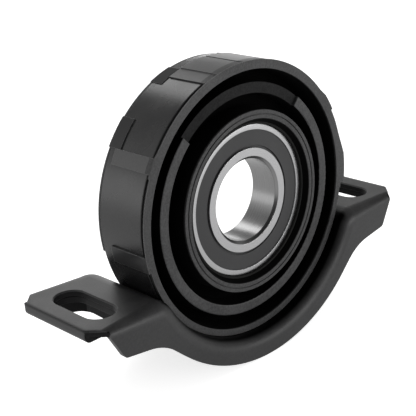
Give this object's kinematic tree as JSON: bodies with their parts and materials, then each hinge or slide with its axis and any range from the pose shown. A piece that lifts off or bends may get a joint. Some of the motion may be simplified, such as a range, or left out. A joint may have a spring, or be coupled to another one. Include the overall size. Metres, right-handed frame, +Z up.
{
  "type": "driveshaft centre bearing",
  "caption": "Sealed ball bearing held in a convoluted rubber mount inside a banded ring, seated in a pressed saddle bracket with slotted ears.",
  "frame": {"origin": "centre of the ball bearing, on the shaft axis, midway between the bearing's two faces", "axes": "+Y along the shaft axis from the front to the rear, +X across the bracket's ears, +Z up"},
  "size_m": [0.1544, 0.0451, 0.108],
  "materials": {
    "bracket_coat": "matte black dipped coat on pressed steel",
    "ring_coat": "semi-gloss black coat on rolled steel",
    "mount_rubber": "moulded, satin",
    "sleeve_steel": "plain drawn steel",
    "race_steel": "ground bearing steel",
    "cage_steel": "pressed steel strip",
    "ball_steel": "polished bearing steel",
    "seal_rubber": "moulded, dull",
    "insert_steel": "plain steel sheet"
  },
  "bodies": {
    "housing": {"bracket": "bracket_coat", "outer_ring": "ring_coat", "rubber_mount": "mount_rubber", "bearing_sleeve": "sleeve_steel", "outer_race": "race_steel", "front_seal": "seal_rubber", "rear_seal": "seal_rubber", "front_seal_insert": "insert_steel", "rear_seal_insert": "insert_steel"},
    "inner_race": {"inner_race": "race_steel"},
    "cage": {"cage_front": "cage_steel", "cage_rear": "cage_steel", "cage_rivets": "cage_steel"},
    "ball_01": {"ball_01": "ball_steel"},
    "ball_02": {"ball_02": "ball_steel"},
    "ball_03": {"ball_03": "ball_steel"},
    "ball_04": {"ball_04": "ball_steel"},
    "ball_05": {"ball_05": "ball_steel"},
    "ball_06": {"ball_06": "ball_steel"},
    "ball_07": {"ball_07": "ball_steel"},
    "ball_08": {"ball_08": "ball_steel"},
    "ball_09": {"ball_09": "ball_steel"},
    "ball_10": {"ball_10": "ball_steel"},
    "ball_11": {"ball_11": "ball_steel"}
  },
  "joints": [
    {"name": "inner_race_turn", "type": "hinge", "parent": "housing", "child": "inner_race", "pos_m": [0, 0, 0], "axis": [0, 1, 0], "continuous": true},
    {"name": "cage_turn", "type": "hinge", "parent": "housing", "child": "cage", "pos_m": [0, 0, 0], "axis": [0, 1, 0], "continuous": true},
    {"name": "ball_01_spin", "type": "hinge", "parent": "cage", "child": "ball_01", "pos_m": [0, 0, 0.02125], "axis": [0, 1, 0], "continuous": true},
    {"name": "ball_02_spin", "type": "hinge", "parent": "cage", "child": "ball_02", "pos_m": [-0.01149, 0, 0.01788], "axis": [0, 1, 0], "continuous": true},
    {"name": "ball_03_spin", "type": "hinge", "parent": "cage", "child": "ball_03", "pos_m": [-0.01933, 0, 0.00883], "axis": [0, 1, 0], "continuous": true},
    {"name": "ball_04_spin", "type": "hinge", "parent": "cage", "child": "ball_04", "pos_m": [-0.02103, 0, -0.00302], "axis": [0, 1, 0], "continuous": true},
    {"name": "ball_05_spin", "type": "hinge", "parent": "cage", "child": "ball_05", "pos_m": [-0.01606, 0, -0.01392], "axis": [0, 1, 0], "continuous": true},
    {"name": "ball_06_spin", "type": "hinge", "parent": "cage", "child": "ball_06", "pos_m": [-0.00599, 0, -0.02039], "axis": [0, 1, 0], "continuous": true},
    {"name": "ball_07_spin", "type": "hinge", "parent": "cage", "child": "ball_07", "pos_m": [0.00599, 0, -0.02039], "axis": [0, 1, 0], "continuous": true},
    {"name": "ball_08_spin", "type": "hinge", "parent": "cage", "child": "ball_08", "pos_m": [0.01606, 0, -0.01392], "axis": [0, 1, 0], "continuous": true},
    {"name": "ball_09_spin", "type": "hinge", "parent": "cage", "child": "ball_09", "pos_m": [0.02103, 0, -0.00302], "axis": [0, 1, 0], "continuous": true},
    {"name": "ball_10_spin", "type": "hinge", "parent": "cage", "child": "ball_10", "pos_m": [0.01933, 0, 0.00883], "axis": [0, 1, 0], "continuous": true},
    {"name": "ball_11_spin", "type": "hinge", "parent": "cage", "child": "ball_11", "pos_m": [0.01149, 0, 0.01788], "axis": [0, 1, 0], "continuous": true}
  ],
  "couplings": [
    {"joint": "cage_turn", "follows": "inner_race_turn", "ratio": 0.41596},
    {"joint": "ball_01_spin", "follows": "inner_race_turn", "ratio": -2.8906},
    {"joint": "ball_02_spin", "follows": "inner_race_turn", "ratio": -2.8906},
    {"joint": "ball_03_spin", "follows": "inner_race_turn", "ratio": -2.8906},
    {"joint": "ball_04_spin", "follows": "inner_race_turn", "ratio": -2.8906},
    {"joint": "ball_05_spin", "follows": "inner_race_turn", "ratio": -2.8906},
    {"joint": "ball_06_spin", "follows": "inner_race_turn", "ratio": -2.8906},
    {"joint": "ball_07_spin", "follows": "inner_race_turn", "ratio": -2.8906},
    {"joint": "ball_08_spin", "follows": "inner_race_turn", "ratio": -2.8906},
    {"joint": "ball_09_spin", "follows": "inner_race_turn", "ratio": -2.8906},
    {"joint": "ball_10_spin", "follows": "inner_race_turn", "ratio": -2.8906},
    {"joint": "ball_11_spin", "follows": "inner_race_turn", "ratio": -2.8906}
  ]
}
